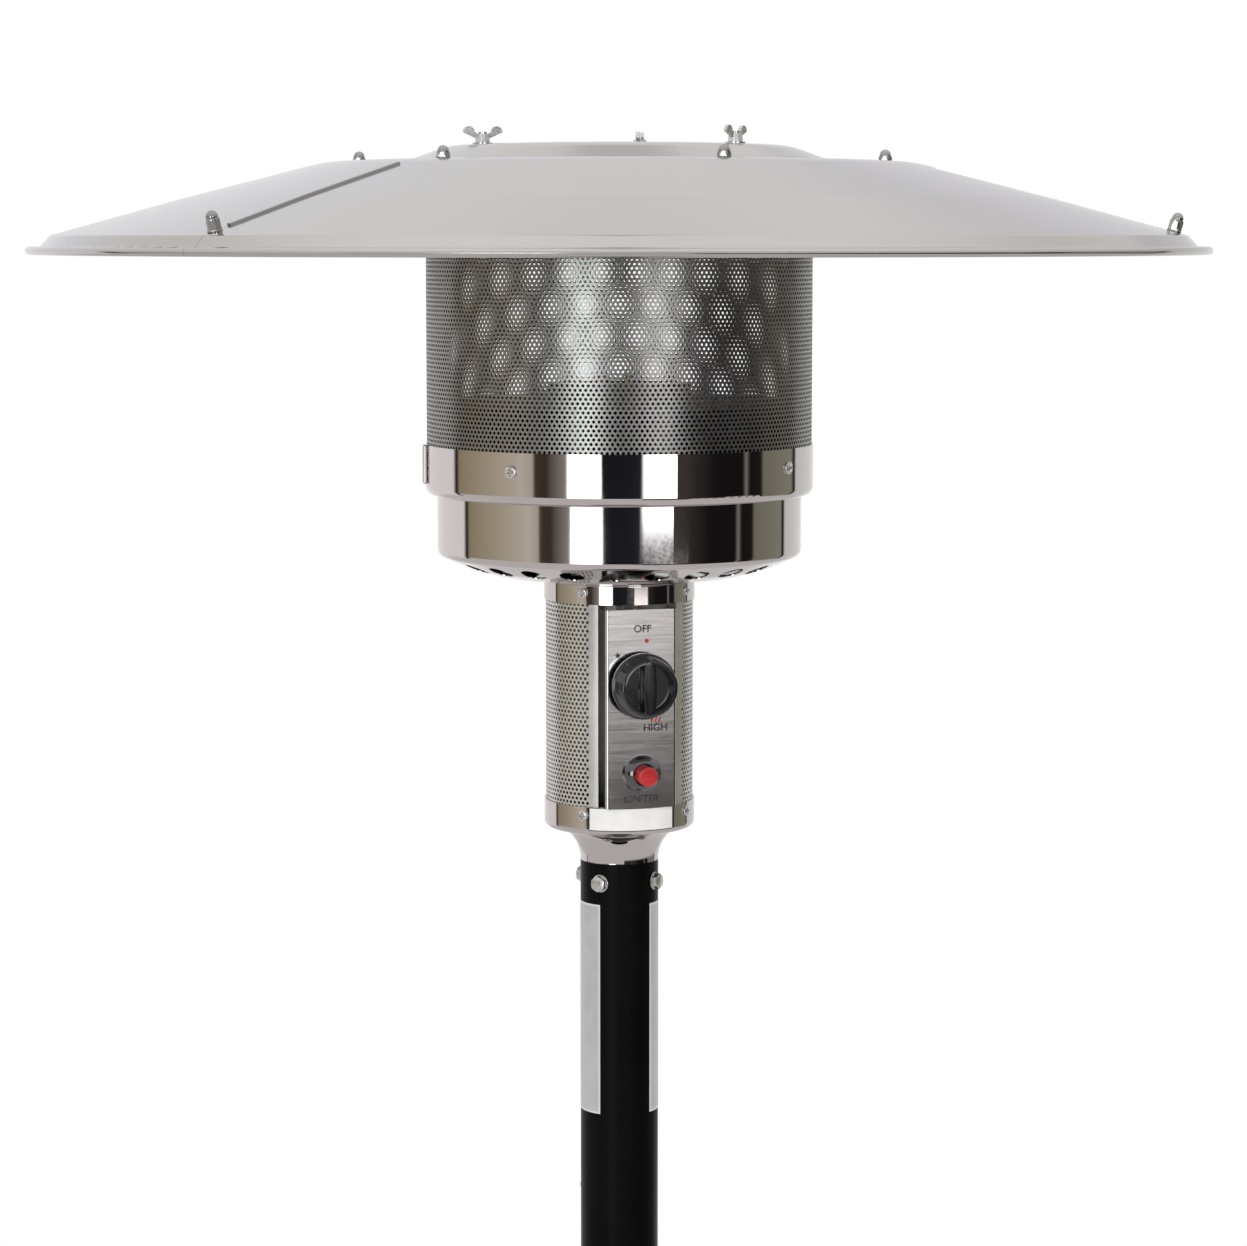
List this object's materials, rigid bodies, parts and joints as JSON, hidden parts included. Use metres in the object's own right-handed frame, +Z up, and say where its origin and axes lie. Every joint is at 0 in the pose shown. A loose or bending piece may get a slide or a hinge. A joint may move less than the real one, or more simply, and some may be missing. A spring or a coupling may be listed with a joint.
{
  "type": "gas patio heater",
  "caption": "Free-standing gas patio heater with a wide panelled reflector over a perforated emitter, chrome burner bowl, control housing, black post and lift-up bottle housing.",
  "frame": {"origin": "centre of the base on the floor plane, under the post's axis", "axes": "+Z up along the post, the control panel faces -Y, +X to the right of someone facing the panel"},
  "size_m": [0.813, 0.813, 2.2083],
  "materials": {
    "reflector_metal": "satin rolled sheet",
    "chrome": "mirror polish",
    "screen_steel": "perforated polished sheet",
    "panel_steel": "vertical brushing",
    "black_paint": "semi-gloss powder coat",
    "bright_hardware": "bright zinc plate",
    "brass": "machined",
    "cast_alloy": "die cast",
    "burner_iron": "heat darkened",
    "knob_black": "gloss moulding",
    "black_plastic": "matt moulding",
    "button_red": "gloss moulding",
    "insulator": "matt ceramic",
    "foot_rubber": "moulded rubber",
    "concrete": "cast ballast"
  },
  "bodies": {
    "heater": {"reflector_disc": "reflector_metal", "reflector_panel_1": "reflector_metal", "reflector_panel_2": "reflector_metal", "reflector_panel_3": "reflector_metal", "burner_bowl": "chrome", "burner_band": "chrome", "band_clasp": "chrome", "housing_bottom_cap": "chrome", "housing_top_cap": "chrome", "post_collar": "chrome", "emitter_screen": "screen_steel", "housing_wrap": "screen_steel", "emitter_lid": "screen_steel", "flame_tube": "screen_steel", "burner_plate": "screen_steel", "control_panel": "panel_steel", "base_pan": "black_paint", "support_bracket_1": "black_paint", "support_bracket_2": "black_paint", "support_bracket_3": "black_paint", "post_flange": "black_paint", "lower_post": "black_paint", "upper_post": "black_paint", "dome_nuts": "bright_hardware", "reflector_bolts": "bright_hardware", "reflector_studs": "bright_hardware", "stud_spacers": "bright_hardware", "stud_washers": "bright_hardware", "band_screws": "bright_hardware", "housing_screws": "bright_hardware", "cap_bolts": "bright_hardware", "post_bolts": "bright_hardware", "valve_nut": "bright_hardware", "post_set_screws": "bright_hardware", "flange_bolts": "bright_hardware", "bracket_bolts": "bright_hardware", "post_coupling": "bright_hardware", "venturi_tube": "bright_hardware", "gas_inlet": "brass", "gas_jet": "brass", "thermocouple": "brass", "pilot_burner": "brass", "valve_body": "cast_alloy", "burner_head": "burner_iron", "igniter_bezel": "knob_black", "igniter_body": "black_plastic", "tilt_switch": "black_plastic", "spark_electrode": "insulator", "base_feet": "foot_rubber", "base_ballast": "concrete"},
    "valve_plunger": {"valve_plunger": "brass"},
    "control_knob": {"control_knob": "knob_black", "valve_stem": "brass"},
    "igniter_button": {"igniter_button": "button_red"},
    "wing_nut_1": {"wing_nut_1": "bright_hardware"},
    "wing_nut_2": {"wing_nut_2": "bright_hardware"},
    "wing_nut_3": {"wing_nut_3": "bright_hardware"},
    "tank_housing": {"tank_shell": "black_paint", "tank_top": "black_paint", "tank_rivets": "bright_hardware"}
  },
  "joints": [
    {"name": "knob_push", "type": "slide", "parent": "heater", "child": "valve_plunger", "axis": [0, 1, 0], "range_m": [0, 0.0045], "stiffness_N_per_m": 400},
    {"name": "knob_turn", "type": "hinge", "parent": "valve_plunger", "child": "control_knob", "pos_m": [0, -0.06, 1.8267], "axis": [0, -1, 0], "range_deg": [0, 200]},
    {"name": "igniter_press", "type": "slide", "parent": "heater", "child": "igniter_button", "axis": [0, 1, 0], "range_m": [0, 0.0055], "stiffness_N_per_m": 300},
    {"name": "wing_nut_1_turn", "type": "hinge", "parent": "heater", "child": "wing_nut_1", "pos_m": [0.05736, -0.08192, 2.2008], "axis": [0, 0, 1], "continuous": true},
    {"name": "wing_nut_2_turn", "type": "hinge", "parent": "heater", "child": "wing_nut_2", "pos_m": [0.04226, 0.09063, 2.2008], "axis": [0, 0, 1], "continuous": true},
    {"name": "wing_nut_3_turn", "type": "hinge", "parent": "heater", "child": "wing_nut_3", "pos_m": [-0.09962, -0.00872, 2.2008], "axis": [0, 0, 1], "continuous": true},
    {"name": "tank_housing_lift", "type": "slide", "parent": "heater", "child": "tank_housing", "axis": [0, 0, 1], "range_m": [0, 0.5]}
  ]
}
